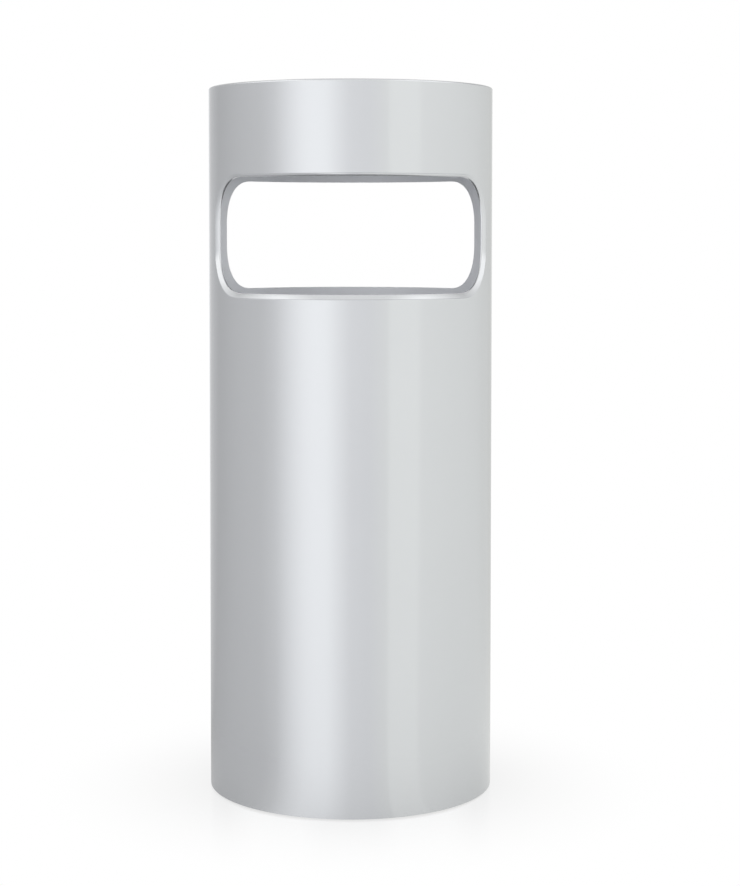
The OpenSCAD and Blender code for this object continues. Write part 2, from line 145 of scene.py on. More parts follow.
def silverPaint(start, place):  # glossy outside, dull in the bore, where the pale colour is painted light on the shaded inside
    look = silverLook
    outside = place.fromAxis().between(look["bore"] - look["boreEdge"], look["bore"] + look["boreEdge"])
    flakes = place.noise(look["flakes"], 1.0)
    clouds = place.noise(look["clouds"], 3.0)
    shade = flakes * 0.6 + clouds * 0.4
    low, high = 1 - look["spread"], 1 + look["spread"]
    glossy = shade.blend(grey(low, look["colour"]), grey(high, look["colour"]))
    # painted light: the bore is coloured paler than the paint outside, to brighten its shaded inside
    paleBorePaintedLight = shade.blend(grey(low, look["inside"]), grey(high, look["inside"]))
    metal = outside * (look["metal"] - look["insideMetal"]) + look["insideMetal"]
    roughness = outside * (look["roughness"] - look["insideRoughness"]) + look["insideRoughness"]
    peel = place.noise(look["peel"], 2.0).bump(look["peelDepth"])
    return start.add("BsdfPrincipled", {}, {
        "Base Color": outside.blend(paleBorePaintedLight, glossy), "Metallic": metal,
        "Roughness": roughness + clouds * look["cloudRoughness"],
        "Coat Weight": outside * look["coat"], "Coat Roughness": look["coatRoughness"], "Normal": peel})


sealLook = {"dark": 0.03, "light": 0.055, "grain": 900, "grainDepth": 0.04, "dust": 60, "roughness": 0.7,
            "dustRoughness": 0.15}


def sealRubber(start, place):
    look = sealLook
    grain = place.noise(look["grain"], 3.0)
    dust = place.noise(look["dust"], 4.0).between(0.45, 0.75)
    colour = (grain * 0.5 + dust * 0.5).blend(grey(look["dark"]), grey(look["light"]))
    return start.add("BsdfPrincipled", {}, {
        "Base Color": colour, "Roughness": look["roughness"] + dust * look["dustRoughness"],
        "Normal": grain.bump(look["grainDepth"])})


steelLook = {"dark": (0.47, 0.472, 0.475), "light": (0.66, 0.662, 0.665), "rings": 2600, "bands": 420,
             "stains": 28, "roughness": 0.22, "brush": 0.02}


def brushedSteel(start, place):
    look = steelLook
    radius, z = place.fromAxis(), place.part("Z")
    angle = start.sum("ARCTAN2", place.part("Y"), place.part("X"))

    def brushed(scale, turns):  # lines that run round the axis
        spread = {"X": radius * scale, "Y": angle * turns, "Z": z * scale}
        return start.add("CombineXYZ", {}, spread).noise(1.0, 3.0, 0.6)

    lines, bands = brushed(look["rings"], 4), brushed(look["bands"], 2)
    stains = place.noise(look["stains"], 4.0).between(0.4, 0.7)
    colour = (lines * 0.55 + bands * 0.45).blend(look["dark"] + (1,), look["light"] + (1,))
    return start.add("BsdfPrincipled", {}, {
        "Base Color": colour, "Metallic": 1.0,
        "Roughness": look["roughness"] + lines * 0.12 + bands * 0.08 + stains * 0.07,
        "Normal": lines.bump(look["brush"])})


zincLook = {"bright": (0.60, 0.61, 0.62), "warm": (0.60, 0.57, 0.50), "clouds": 140, "roughness": 0.26,
            "cloudRoughness": 0.14, "grain": 1900, "grainDepth": 0.01}


def brightZinc(start, place):
    look = zincLook
    clouds = place.noise(look["clouds"], 3.0)
    grain = place.noise(look["grain"], 2.0)
    colour = clouds.between(0.45, 0.75).blend(look["bright"] + (1,), look["warm"] + (1,))
    return start.add("BsdfPrincipled", {}, {
        "Base Color": colour, "Metallic": 1.0,
        "Roughness": look["roughness"] + clouds * look["cloudRoughness"],
        "Normal": grain.bump(look["grainDepth"])})


galvanisedLook = {"dark": (0.42, 0.432, 0.444), "light": (0.60, 0.612, 0.624), "metal": 0.9,
                  "roughness": 0.30, "spangle": 95, "warp": 0.005, "warpScale": 90.0, "feather": 700,
                  "frost": 160, "depth": 0.008}


def galvanised(start, place):
    look = galvanisedLook
    warp = place.add("TexNoise", {}, {"Vector": place, "Scale": look["warpScale"], "Detail": 2.0}, "Color")
    bent = place.add("VectorMath", {"operation": "MULTIPLY_ADD"}, {0: warp, 1: (look["warp"],) * 3, 2: place})
    cells = place.add("TexVoronoi", {}, {"Vector": bent, "Scale": look["spangle"]}, "Color")
    shade = place.add("SeparateColor", {}, {"Color": cells}, 0)
    lean = place.add("SeparateColor", {}, {"Color": cells}, 1)
    angles = place.add("VectorMath", {"operation": "SCALE"}, {0: cells, "Scale": math.tau})
    turned = place.add("VectorRotate", {"rotation_type": "EULER_XYZ"}, {"Vector": place, "Rotation": angles})
    feather = turned.stretched(1, 0.12, 1).noise(look["feather"], 2.0)  # crystals, turned cell by cell
    frost = bent.stretched(3, 3, 1).noise(look["frost"], 4.0)
    tone = shade * 0.4 + feather * 0.35 + frost * 0.25
    return start.add("BsdfPrincipled", {}, {
        "Base Color": tone.blend(look["dark"] + (1,), look["light"] + (1,)), "Metallic": look["metal"],
        "Roughness": look["roughness"] + lean * 0.16 + feather * 0.1,
        "Normal": (feather + frost).bump(look["depth"])})


plasticLook = {"clouds": 22, "cloudRoughness": 0.12, "grainDepth": 0.05}


def mouldedPlastic(dark, light, roughness, grain):
    def paint(start, place):
        look = plasticLook
        texture = place.noise(grain, 2.0)
        clouds = place.noise(look["clouds"], 3.0)
        return start.add("BsdfPrincipled", {}, {
            "Base Color": (texture * 0.6 + clouds * 0.4).blend(grey(dark), grey(light)),
            "Roughness": roughness + clouds * look["cloudRoughness"],
            "Normal": texture.bump(look["grainDepth"])})
    return paint


ballastLook = {"paint": (0.10, (0.97, 1, 1.04)), "rubbed": (0.19, (1, 0.97, 0.93)), "rubs": 35,
               "roughness": 0.5, "grain": 420, "grainDepth": 0.08}


def ballastPaint(start, place):
    look = ballastLook
    grain = place.noise(look["grain"], 3.0)
    rubs = place.noise(look["rubs"], 5.0, 0.7).between(0.62, 0.72)
    return start.add("BsdfPrincipled", {}, {
        "Base Color": rubs.blend(grey(*look["paint"]), grey(*look["rubbed"])),
        "Roughness": look["roughness"] + grain * 0.15 - rubs * 0.1,
        "Normal": grain.bump(look["grainDepth"])})


finishes = {
    "silver_shell": finish("silver paint", silverPaint),
    "soft_seal": finish("seal rubber", sealRubber),
    "stainless": finish("brushed steel", brushedSteel),
    "black_plastic": finish("black plastic", mouldedPlastic(0.018, 0.034, 0.36, 1400)),
    "zinc_steel": finish("bright zinc", brightZinc),
    "galvanised": finish("galvanised sheet", galvanised),
    "base_plastic": finish("charcoal plastic", mouldedPlastic(0.045, 0.078, 0.46, 1100)),
    "ballast_steel": finish("ballast paint", ballastPaint),
    "foot_rubber": finish("foot rubber", mouldedPlastic(0.022, 0.042, 0.68, 800)),
}
print("finishes:", len(finishes))


# Lines, loops and skins. Lengths are in millimetres; flat work lies in XZ with Y as its depth.
def once(items):  # each of them once, in order
    return list(dict.fromkeys(items))


def only(kind, items):
    return [item for item in items if isinstance(item, kind)]


def around(reach, degrees):
    angle = math.radians(degrees)
    return reach * math.cos(angle), reach * math.sin(angle)


def line(bm, points, closed=False, segments=5, depth=0):
    before = set(bm.edges)
    verts = [bm.verts.new((point[0] * mm, depth * mm, point[1] * mm)) for point in points]
    for first, second in zip(verts, verts[1:] + (verts[:1] if closed else [])):
        bm.edges.new((first, second))
    for vert, point in zip(verts, points):
        if len(point) > 2:  # the third number rounds the corner
            bmesh.ops.bevel(bm, geom=[vert], offset=point[2] * mm, offset_type="OFFSET", segments=segments,
                            profile=0.5, affect="VERTICES", material=-1)
    return [edge for edge in bm.edges if edge not in before]


def hoop(bm, radius, segments, place):
    made = bmesh.ops.create_circle(bm, cap_ends=False, radius=radius * mm, segments=segments, matrix=place)
    return once(edge for vert in made["verts"] for edge in vert.link_edges)


def circle(bm, x, z, radius, segments, depth=0):
    place = Matrix.Translation((x * mm, depth * mm, z * mm)) @ Matrix.Rotation(math.radians(90), 4, "X")
    return hoop(bm, radius, segments, place)


def join(bm, loops):
    for first, second in zip(loops, loops[1:]):
        bmesh.ops.bridge_loops(bm, edges=first + second)


def fill(bm, edges):
    bmesh.ops.triangle_fill(bm, use_beauty=True, use_dissolve=False, edges=edges, normal=(0, -1, 0))


def weld(bm, gap=0.001):
    bmesh.ops.remove_doubles(bm, verts=bm.verts[:], dist=gap * mm)


def outwards(bm, gap=0.001):
    weld(bm, gap)
    bmesh.ops.recalc_face_normals(bm, faces=bm.faces[:])


def turn(bm, steps=roundSteps):
    bmesh.ops.spin(bm, geom=bm.verts[:] + bm.edges[:], cent=(0, 0, 0), axis=upAxis, angle=math.tau,
                   steps=steps, use_merge=True)
    outwards(bm)


def thicken(bm, thickness, out, up):  # behind a skin that looks out and up, or in and down where negative
    lean = 0
    for face in bm.faces:
        middle = face.calc_center_median()
        wanted = Vector((middle.x, middle.y, 0)).normalized() * out + upAxis * up
        lean += face.calc_area() * face.normal.dot(wanted)
    if lean < 0:
        bmesh.ops.reverse_faces(bm, faces=bm.faces[:])
    bmesh.ops.solidify(bm, geom=bm.faces[:], thickness=thickness * mm)


def soften(bm, width, segments=2, limit=50):
    edges = [edge for edge in bm.edges
             if len(edge.link_faces) == 2 and edge.calc_face_angle() > math.radians(limit)]
    bmesh.ops.bevel(bm, geom=edges, offset=width * mm, offset_type="OFFSET", segments=segments, profile=0.5,
                    affect="EDGES", clamp_overlap=True, material=-1)


def slices(bm, width):  # upright cuts, so that flat work can be rolled
    step = width * mm
    low = min(vert.co.x for vert in bm.verts) / step
    high = max(vert.co.x for vert in bm.verts) / step
    for number in range(math.floor(low + 0.001) + 1, math.ceil(high - 0.001)):
        bmesh.ops.bisect_plane(bm, geom=bm.verts[:] + bm.edges[:] + bm.faces[:], dist=1e-7,
                               plane_co=(number * step, 0, 0), plane_no=(1, 0, 0))


def roll(bm, radius):  # X runs round from the front of a tube of that radius, and depth goes inwards
    for vert in bm.verts:
        angle = vert.co.x / (radius * mm)
        reach = radius * mm - vert.co.y
        vert.co.x = reach * math.sin(angle)
        vert.co.y = -reach * math.cos(angle)


def swing(bm, degrees, axis="Z", verts=None):
    bmesh.ops.rotate(bm, verts=verts or bm.verts[:], cent=(0, 0, 0),
                     matrix=Matrix.Rotation(math.radians(degrees), 3, axis))


def shift(bm, x, y, z, verts=None):
    bmesh.ops.translate(bm, verts=verts or bm.verts[:], vec=(x * mm, y * mm, z * mm))


def flatRing(inner, outer, low, high, soft, segments, steps):
    bm = bmesh.new()
    section = [(inner, low, soft), (outer, low, soft), (outer, high, soft), (inner, high, soft)]
    line(bm, section, True, segments)
    turn(bm, steps)
    return bm


def turnedAt(reach, degrees, points, steps, segments=5):  # turned, then moved out from the axis and round it
    bm = bmesh.new()
    line(bm, points, segments=segments)
    turn(bm, steps)
    shift(bm, reach, 0, 0)
    swing(bm, degrees)
    return bm


def layPlate(bm, rims):  # each rim is its loops from face to face; the plate lies flat, depth downwards
    for loops in rims:
        join(bm, loops)
    for side in (0, -1):
        fill(bm, [edge for loops in rims for edge in loops[side]])
    outwards(bm)
    swing(bm, -90, "X")


def gather(parts):  # several shapes in one mesh
    whole = bmesh.new()
    for part in parts:
        mesh = bpy.data.meshes.new("part")
        part.to_mesh(mesh)
        part.free()
        whole.from_mesh(mesh)
        bpy.data.meshes.remove(mesh)
    return whole


def span(node):  # outer radius, bottom and top of a turned node
    low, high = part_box(node)
    return high.x / mm, low.z / mm, high.z / mm


def piece(name, bm, slot, body, *nodes, crease=35):
    mesh = bpy.data.meshes.new(name)
    loose = sum(1 for edge in bm.edges if len(edge.link_faces) != 2)
    bm.to_mesh(mesh)
    bm.free()
    mesh.shade_smooth()
    mesh.set_sharp_from_angle(angle=math.radians(crease))
    mesh.materials.append(finishes[slot])
    made = bpy.data.objects.new(name, mesh)
    scene.collection.objects.link(made)
    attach(made, body)
    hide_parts(*nodes)
    print("made", name, len(mesh.polygons), "faces,", loose, "open edges")
    return made


def weightedNormals(made):
    even = made.modifiers.new("even shading", "WEIGHTED_NORMAL")
    even.mode = "FACE_AREA"
    even.keep_sharp = True


# The tube, with a window front and back
tube = {"facets": 360, "wall": 4.0, "rimRound": 1.5, "footRound": 0.6,
        "footStep": 2.0, "footStepTop": 5.0, "stepRound": 0.3,
        "windowAngle": 136.0, "windowDrop": 79.5, "windowHeight": 98.4, "corner": 39.0, "cornerSteps": 18,
        "lipWidth": {"low": 3.9, "side": 3.2, "high": 2.0},
        "lipDepth": {"low": 2.6, "side": 3.2, "high": 2.05},
        "lipCrown": 0.08, "lipSteps": 6, "lipGroove": 0.25, "backRound": 0.3, "bandEdge": 12.0,
        "ledge": 4.0, "ledgeWidth": 7.0, "ledgeFillet": 0.5, "ledgeRound": 0.6, "ledgeFoot": 1.0,
        "weld": 0.02}


def makeTube():
    t = tube
    radius, foot, top = span("shell")
    bore = radius - t["wall"]
    windowHigh = top - t["windowDrop"]
    windowLow = windowHigh - t["windowHeight"]
    reach = radius * math.radians(t["windowAngle"] / 2)
    bandLow, bandHigh = windowLow - t["bandEdge"], windowHigh + t["bandEdge"]
    bandReach = radius * math.pi / 2

    groove, wall, back = t["lipGroove"], t["wall"], t["backRound"]
    wide, deep = t["lipWidth"], t["lipDepth"]
    # a level is a share of the way down the lip, then millimetres outwards and inwards
    levels = [(0, groove * 2, 0), (0, groove, groove)]
    for step in range(t["lipSteps"] + 1):
        share = step / t["lipSteps"]
        crown = t["lipCrown"] * 4 * share * (1 - share)
        levels.append((share, -crown, -crown))
    onLip = len(levels)
    levels += [(1, 0, wall - back), (1, back * 0.3, wall - back * 0.3), (1, back, wall)]

    def lipDepth(z):  # deepest at the sides of the window
        rise = min(1, max(0, (z - windowLow) / t["windowHeight"])) * 2 - 1
        return deep["side"] + (deep["high" if rise > 0 else "low"] - deep["side"]) * abs(rise)

    band = bmesh.new()
    loops = []
    for number, (share, out, depth) in enumerate(levels):
        x = reach + wide["side"] * (1 - share) + out
        low = windowLow - wide["low"] * (1 - share) - out
        high = windowHigh + wide["high"] * (1 - share) + out
        corner = t["corner"] + wide["side"] * (1 - share) + out
        loop = line(band, [(-x, low, corner), (x, low, corner), (x, high, corner), (-x, high, corner)],
                    True, t["cornerSteps"])
        for vert in once(vert for edge in loop for vert in edge.verts):
            vert.co.y = (depth + (share * lipDepth(vert.co.z / mm) if number < onLip else 0)) * mm
        loops.append(loop)
    join(band, loops)
    for loop, depth in ((loops[0], 0), (loops[-1], wall)):
        sides = line(band, [(-bandReach, bandLow), (bandReach, bandLow), (bandReach, bandHigh),
                            (-bandReach, bandHigh)], True, 1, depth)
        fill(band, sides + loop)
    facet = math.tau * radius / t["facets"]
    slices(band, facet)
    slanted = []  # left by the fill in the plain wall above and below a window
    for edge in band.edges:
        first, second = (vert.co for vert in edge.verts)
        flat = all(abs(face.normal.y) > 0.9999 for face in edge.link_faces)
        if flat and len(edge.link_faces) == 2 and abs(first.x - second.x) > facet * 0.01 * mm:
            slanted.append(edge)
    bmesh.ops.dissolve_edges(band, edges=slanted, use_verts=False, use_face_split=False)
    roll(band, radius)
    copy = bmesh.ops.duplicate(band, geom=band.verts[:] + band.edges[:] + band.faces[:])["geom"]
    swing(band, 180, verts=only(bmesh.types.BMVert, copy))

    upper = bmesh.new()
    ledgeTop = span("ledge_gasket")[1]
    ledgeLow = ledgeTop - t["ledge"]
    ledgeRim = bore - t["ledgeWidth"]
    line(upper, [(radius, bandHigh), (radius, top, t["rimRound"]), (bore, top, t["rimRound"]),
                 (bore, ledgeTop, t["ledgeFillet"]), (ledgeRim, ledgeTop, t["ledgeRound"]),
                 (ledgeRim, ledgeLow, t["ledgeRound"]), (bore, ledgeLow - t["ledgeWidth"], t["ledgeFoot"]),
                 (bore, bandHigh)])
    lower = bmesh.new()
    stepOut, stepTop, stepRound = bore + t["footStep"], t["footStepTop"], t["stepRound"]
    line(lower, [(bore, bandLow), (bore, stepTop, stepRound), (stepOut, stepTop, stepRound),
                 (stepOut, foot, stepRound), (radius, foot, t["footRound"]), (radius, bandLow)])
    for part in (upper, lower):
        turn(part, t["facets"])
    whole = gather([band, upper, lower])
    outwards(whole, t["weld"])
    weightedNormals(piece("bin_tube", whole, "silver_shell", "shell", "shell", crease=50))


makeTube()
print("tube done")

# The ashtray: its seal, the dish, the plate with holes, and the knob with its washer and screw
seal = {"inner": 114.0, "round": 0.45, "segments": 4}


def makeSeal():
    outer, low, high = span("ledge_gasket")
    bm = flatRing(seal["inner"], outer, low, high, seal["round"], seal["segments"], roundSteps)
    piece("seal_ring", bm, "soft_seal", "shell", "ledge_gasket")


makeSeal()

dish = {"sheet": 1.5, "well": 106.5, "bend": 3.0, "seatRound": 1.4, "throat": 99.5, "floorRim": 89.5,
        "fillet": 8.0, "ringOuter": 62.0, "ringInner": 56.0, "ringRise": 1.6, "ringRound": 2.5, "eased": 0.35}


def makeDish():
    d = dish
    flange, low, top = span("ash_bowl")
    floor = low + d["sheet"]
    ringTop = floor + d["ringRise"]
    seat = span("stub_grid")[1]
    bm = bmesh.new()
    line(bm, [(flange, top), (d["well"], top, d["bend"]), (d["well"], seat, d["seatRound"]),
              (d["throat"], seat, d["bend"]), (d["floorRim"], floor, d["fillet"]),
              (d["ringOuter"], floor, d["ringRound"]), (d["ringInner"], ringTop, d["ringRound"]),
              (0, ringTop)], segments=6)
    turn(bm)
    thicken(bm, d["sheet"], -0.5, 1)
    soften(bm, d["eased"])
    piece("ash_dish", bm, "stainless", "ashtray", "ash_bowl")


makeDish()

stubPlate = {"hole": 4.5, "holeSides": 16, "eased": 0.4, "firstRing": 19.5, "pitch": 14.5, "rings": 6,
             "perRing": 6, "land": 4.0, "slotMiddle": 55.25, "slotLength": 40.0, "slotWidth": 14.0,
             "slotSteps": 8, "slotFlat": 0.01, "screwHole": 2.08, "screwSides": 24}


def makeStubPlate():
    p = stubPlate
    rim, low, top = span("stub_grid")
    thick = top - low
    levels = [(p["eased"], 0), (0, p["eased"]), (0, thick - p["eased"]), (p["eased"], thick)]
    bm = bmesh.new()

    def hole(x, z, radius, sides):
        return [circle(bm, x, z, radius + out, sides, depth) for out, depth in levels]

    rims = [[circle(bm, 0, 0, rim - out, roundSteps, depth) for out, depth in levels],
            hole(0, 0, p["screwHole"], p["screwSides"])]
    for side in (-1, 1):
        slot = []
        for out, depth in levels:
            x, z = p["slotLength"] / 2 + out, p["slotWidth"] / 2 + out
            left, right = side * p["slotMiddle"] - x, side * p["slotMiddle"] + x
            soft = z - p["slotFlat"]
            outline = [(left, -z, soft), (right, -z, soft), (right, z, soft), (left, z, soft)]
            slot.append(line(bm, outline, True, p["slotSteps"], depth))
        rims.append(slot)
    room = p["hole"] + p["land"] / 2
    for ring in range(p["rings"]):
        count = p["perRing"] * (ring + 1)
        for number in range(count):
            x, z = around(p["firstRing"] + ring * p["pitch"], 360 * number / count)
            besideSlot = abs(z) > p["slotWidth"] / 2 + room
            pastSlot = abs(abs(x) - p["slotMiddle"]) > p["slotLength"] / 2 + room
            if besideSlot or pastSlot:
                rims.append(hole(x, z, p["hole"], p["holeSides"]))
    layPlate(bm, rims)
    shift(bm, 0, 0, top)
    weightedNormals(piece("stub_plate", bm, "stainless", "grid", "stub_grid", crease=30))


makeStubPlate()

knob = {"neck": 6.5, "footFlare": 2.0, "footEdge": 0.5, "dish": 0.7, "dishRim": 0.78,
        "capTop": 2.2, "capLow": 6.6, "neckTop": 9.6,  # below its top
        "flutes": 12, "perFlute": 6, "fluteDepth": 0.45, "fluteInset": 0.35}


def makeKnob():
    k = knob
    rim, low, top = span("grid_knob")
    flare = k["neck"] + k["footFlare"]
    bm = bmesh.new()
    line(bm, [(0, top - k["dish"]), (rim * 0.5, top - k["dish"] * 0.8, 2.0), (rim * k["dishRim"], top, 1.4),
              (rim, top - k["capTop"], 1.8), (rim, top - k["capLow"], 1.6),
              (k["neck"], top - k["neckTop"], 1.6), (k["neck"], low + k["footFlare"], 1.4),
              (flare, low + k["footEdge"], 0.3), (flare, low), (0, low)], segments=4)
    turn(bm, k["flutes"] * k["perFlute"])
    grooves = []
    for face in bm.faces:
        middle = face.calc_center_median()
        share = (math.atan2(middle.y, middle.x) / math.tau * k["flutes"]) % 1
        side = math.hypot(middle.x, middle.y) > (rim - 0.15) * mm
        if side and 0.3 < share < 0.7 and abs(face.normal.z) < 0.35:
            grooves.append(face)
    bmesh.ops.inset_region(bm, faces=grooves, thickness=k["fluteInset"] * mm, depth=-k["fluteDepth"] * mm,
                           use_boundary=True, use_even_offset=True)
    piece("lift_knob", bm, "black_plastic", "grid", "grid_knob", crease=40)


makeKnob()

washer = {"hole": 2.1, "round": 0.2, "segments": 3, "steps": 64}


def makeWasher():
    rim, low, top = span("knob_washer")
    bm = flatRing(washer["hole"], rim, low, top, washer["round"], washer["segments"], washer["steps"])
    piece("flat_washer", bm, "zinc_steel", "grid", "knob_washer")


makeWasher()

screws = {"socket": 0.8, "socketDepth": 0.5, "sides": 36, "headEase": 0.3, "headEdge": 0.2,
          "threadPitch": 1.0, "threadRoot": 0.82, "threadFrom": 0.3, "plainTip": 1.0, "taper": 0.5}


def makeScrew(shank, head, low, seat, tip, x=0, y=0):  # points up, with a hexagon socket in its head
    s = screws
    bm = bmesh.new()
    height = seat - low
    ease, edge, pitch = height * s["headEase"], s["headEdge"], s["threadPitch"]
    levels = [(head - ease * 1.3, low), (head - ease * 0.4, low + ease * 0.3), (head, low + ease),
              (head, seat - edge), (head - edge, seat), (shank, seat)]
    for number in range(int((tip - seat - s["plainTip"]) / pitch)):  # thread, as rings
        z = seat + s["threadFrom"] + number * pitch
        levels += [(shank, z), (shank * s["threadRoot"], z + pitch * 0.5)]
    levels += [(shank * 0.9, tip - s["taper"]), (shank * 0.5, tip)]
    rings = [circle(bm, 0, 0, radius, s["sides"], -z) for radius, z in levels]
    socket, bottom = (circle(bm, 0, 0, shank * s["socket"], 6, -low - depth)
                      for depth in (0, height * s["socketDepth"]))
    join(bm, rings)
    join(bm, [socket, bottom])
    for edges in (rings[0] + socket, bottom, rings[-1]):
        fill(bm, edges)
    outwards(bm)
    swing(bm, -90, "X")
    shift(bm, x, y, 0)
    return bm


knobScrew = {"shank": 2.0, "head": 3.6}


def makeKnobScrew():
    low, tip = span("knob_screw")[1:]
    bm = makeScrew(knobScrew["shank"], knobScrew["head"], low, span("knob_washer")[1], tip)
    piece("knob_fixing", bm, "zinc_steel", "grid", "knob_screw")


makeKnobScrew()
print("ashtray done")

# The pail, its floor, the lugs with their rivets, and the handle
pail = {"sheet": 1.0, "skin": 0.9, "footRadius": 100.0, "floor": 24.0, "wallFrom": 28.0, "rimRadius": 104.0,
        "bend": 2.0, "rollRadius": 2.5, "rollSink": 0.2, "rollLead": 1.5, "rollAngle": 300, "rollSteps": 20,
        "beads": (120.0, 250.0), "beadRise": 1.8, "beadHalf": 5.0, "beadRound": 1.6,
        "footBead": 20.8, "footBeadRise": 0.9, "footBeadHalf": 2.2, "footBeadFlat": 0.8, "smallRound": 0.8,
        "seamHalf": 2.0, "seamRise": 0.7, "seamEnd": 6.0}


def pailWall(z):  # outer radius of its wall
    lean = (pail["rimRadius"] - pail["footRadius"]) / (span("bucket")[2] - pail["floor"])
    return pail["footRadius"] + max(0, z - pail["floor"]) * lean


def makePail():
    p = pail
    outer, foot, top = span("bucket")
    inside = p["footRadius"] - p["sheet"]

    def wall(z):
        return pailWall(z) - p["sheet"]

    bm = bmesh.new()
    z, out, soft = p["footBead"], inside + p["footBeadRise"], p["smallRound"]
    points = [(inside, foot), (inside, z - p["footBeadHalf"], soft), (out, z - p["footBeadFlat"], soft),
              (out, z + p["footBeadFlat"], soft), (inside, z + p["footBeadHalf"], soft),
              (wall(p["wallFrom"]), p["wallFrom"])]
    half, soft = p["beadHalf"], p["beadRound"]
    for z in p["beads"]:
        out = wall(z) + p["beadRise"]
        points += [(wall(z - half), z - half, soft), (out, z - half * 0.3, soft),
                   (out, z + half * 0.3, soft), (wall(z + half), z + half, soft)]
    rollX, rollZ = outer - p["rollRadius"], top - p["rollSink"] - p["rollRadius"]
    points += [(p["rimRadius"] - p["sheet"], top, p["bend"]), (rollX - p["rollLead"], top, p["smallRound"]),
               (rollX, top - p["rollSink"])]
    line(bm, points, segments=4)
    last = max(bm.verts, key=lambda vert: vert.co.x)
    bmesh.ops.spin(bm, geom=[last], cent=(rollX * mm, 0, rollZ * mm), axis=(0, 1, 0),
                   angle=math.radians(p["rollAngle"]), steps=p["rollSteps"])
    weld(bm)
    turn(bm)
    thicken(bm, p["skin"], -1, 0)
    seam = []
    for face in bm.faces:
        middle = face.calc_center_median()
        radial = Vector((middle.x, middle.y, 0)).normalized()
        offMiddle = abs(math.degrees(math.atan2(middle.x, middle.y)))
        outside = face.normal.dot(radial) > 0.5
        if outside and offMiddle < p["seamHalf"] and p["floor"] < middle.z / mm < top - p["seamEnd"]:
            seam.append(face)
    raised = bmesh.ops.extrude_face_region(bm, geom=seam)["geom"]
    bmesh.ops.delete(bm, geom=seam, context="FACES")
    shift(bm, 0, p["seamRise"], 0, only(bmesh.types.BMVert, raised))
    outwards(bm)
    piece("pail", bm, "galvanised", "bucket", "bucket", crease=40)


makePail()

pailFloor = {"sheet": 1.0, "bend": 2.0, "rings": ((82.0, 74.0), (46.0, 38.0)), "ringDrop": 1.4,
             "ringSlope": 2.5, "ringRound": 1.2}


def makePailFloor():
    f = pailFloor
    rim, low, top = span("bucket_floor")
    sunk, slope, soft = top - f["ringDrop"], f["ringSlope"], f["ringRound"]
    bm = bmesh.new()
    points = [(rim, low), (rim, top, f["bend"])]
    for far, near in f["rings"]:
        points += [(far, top, soft), (far - slope, sunk, soft), (near + slope, sunk, soft), (near, top, soft)]
    line(bm, points + [(0, top)], segments=4)
    turn(bm)
    thicken(bm, f["sheet"], 0.5, 1)
    piece("pail_floor", bm, "galvanised", "bucket", "bucket_floor", crease=40)


makePailFloor()

lug = {"gap": 0.15, "thick": 2.0, "width": 18.0, "eye": 11.0, "eyeSteps": 28, "hole": 2.58, "holeSides": 24,
       "rivetDrops": (9.0, 22.0), "rivetHole": 2.08, "rivetSides": 20, "cornerRound": 3.0, "eased": 0.3,
       "slice": 1.5}
pailRim = span("bucket")[2]
pivot = sum(corner.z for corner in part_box("bail_wire")) / 2 / mm
lugOuter = pailWall(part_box("ear_left")[0].z / mm) - pail["sheet"] - lug["gap"]
lugInner = lugOuter - lug["thick"]
rivetHeights = [pailRim - drop for drop in lug["rivetDrops"]]


def makeLug(name, node, degrees):
    u = lug
    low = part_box(node)[0].z / mm
    half = u["width"] / 2
    neck = pivot - math.sqrt(u["eye"] ** 2 - half ** 2)
    bm = bmesh.new()
    line(bm, [(-half, neck), (-half, low, u["cornerRound"]), (half, low, u["cornerRound"]), (half, neck)])
    start = max(bm.verts, key=lambda vert: vert.co.x + vert.co.z)
    sweep = math.pi + 2 * math.asin((pivot - neck) / u["eye"])
    bmesh.ops.spin(bm, geom=[start], cent=(0, 0, pivot * mm), axis=(0, -1, 0), angle=sweep,
                   steps=u["eyeSteps"])
    weld(bm)
    edges = bm.edges[:]
    edges += circle(bm, 0, pivot, u["hole"], u["holeSides"])
    for z in rivetHeights:
        edges += circle(bm, 0, z, u["rivetHole"], u["rivetSides"])
    fill(bm, edges)
    bmesh.ops.recalc_face_normals(bm, faces=bm.faces[:])
    if sum(face.normal.y for face in bm.faces) > 0:
        bmesh.ops.reverse_faces(bm, faces=bm.faces[:])
    bmesh.ops.solidify(bm, geom=bm.faces[:], thickness=u["thick"] * mm)
    soften(bm, u["eased"])
    slices(bm, u["slice"])
    roll(bm, lugOuter)
    outwards(bm)
    swing(bm, degrees)
    weightedNormals(piece(name, bm, "galvanised", "bucket", node))


makeLug("lug_left", "ear_left", -90)
makeLug("lug_right", "ear_right", 90)

rivets = {"shank": 2.0, "head": 3.5, "rise": 1.5, "sink": 0.15, "steps": 28,
          # shares of the head's radius and rise
          "dome": ((0.36, 0.97), (0.68, 0.8), (0.9, 0.48), (1.0, 0.12), (1.0, 0.0))}


def makeRivets():
    r = rivets
    parts = []
    for side in (1, -1):
        for z in rivetHeights:
            inner, outer = lugInner - r["sink"], pailWall(z + r["head"]) + r["sink"]
            bm = bmesh.new()
            points = [(0, inner - r["rise"])]
            points += [(r["head"] * out, inner - r["rise"] * up) for out, up in r["dome"]]
            points += [(r["shank"], inner), (r["shank"], outer)]
            points += [(r["head"] * out, outer + r["rise"] * up) for out, up in reversed(r["dome"])]
            line(bm, points + [(0, outer + r["rise"])])
            turn(bm, r["steps"])
            swing(bm, 90 * side, "Y")
            shift(bm, 0, 0, z)
            parts.append(bm)
    piece("lug_rivets", gather(parts), "zinc_steel", "bucket", "ear_rivets", crease=50)


makeRivets()

handle = {"wire": 2.5, "radius": 110.5, "elbow": 5.0, "play": 0.6, "head": 4.5, "headThick": 2.0,
          "headEdge": 0.4, "headFlat": 0.35, "sides": 20, "elbowSteps": 10, "archSteps": 120}


